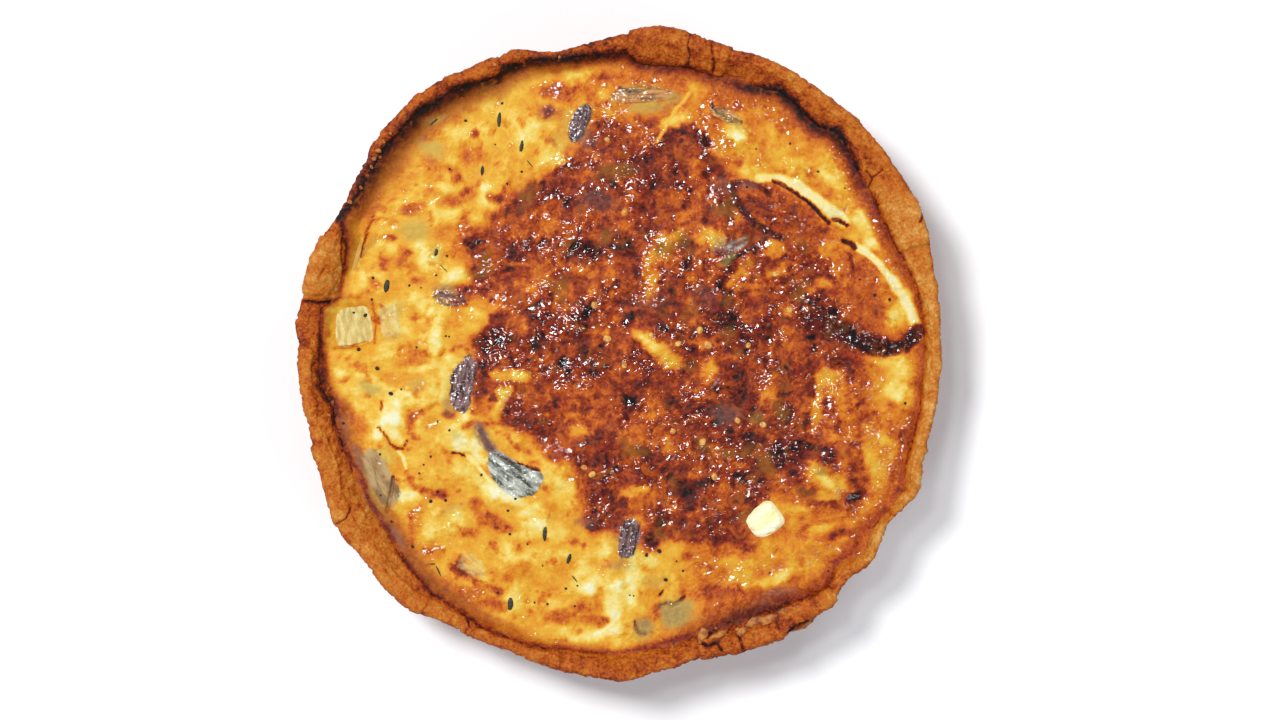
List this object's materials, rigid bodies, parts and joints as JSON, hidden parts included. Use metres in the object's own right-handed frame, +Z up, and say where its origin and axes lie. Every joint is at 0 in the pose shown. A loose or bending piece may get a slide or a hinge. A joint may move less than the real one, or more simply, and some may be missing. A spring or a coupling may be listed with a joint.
{
  "type": "quiche",
  "caption": "Whole uncut round quiche in a hand-folded shortcrust shell, its browned custard set with aubergine, leek, soft cheese and herbs.",
  "frame": {"origin": "centre of the flat underside", "axes": "+Z up through the filling, +Y towards the back of the quiche as laid, where two aubergine slices lie back right, +X to its right"},
  "size_m": [0.24, 0.242, 0.0371],
  "materials": {
    "crust": "baked shortcrust, matt and crumbly, golden tan with burnt edges",
    "custard": "baked egg custard, glossy, yellow with a red-brown browned top",
    "aubergine": "roast aubergine, soft and moist, purple-black skin with browned flesh",
    "leek": "cooked leek and onion, pale green and cream, moist and finely lined",
    "cheese": "soft white cheese with a yellow baked rim",
    "herbs": "baked thyme leaves, dark green to black",
    "pepper": "cracked black pepper",
    "seeds": "aubergine seeds, flat and glossy, yellow"
  },
  "bodies": {
    "root": {"crust": "crust", "custard": "custard", "aubergine_slice_back": "aubergine", "aubergine_slice_right": "aubergine", "aubergine_strip_left": "aubergine", "aubergine_curl_front_left": "aubergine", "aubergine_strip_front": "aubergine", "aubergine_strip_back": "aubergine", "aubergine_strip_upper_left": "aubergine", "aubergine_slab_left": "aubergine", "aubergine_sliver_middle": "aubergine", "leek_square_left": "leek", "leek_square_inner": "leek", "leek_strip_upper_left": "leek", "leek_strip_back": "leek", "leek_strip_back_right": "leek", "leek_petal_front_left": "leek", "cheese_cube": "cheese"}
  },
  "joints": []
}
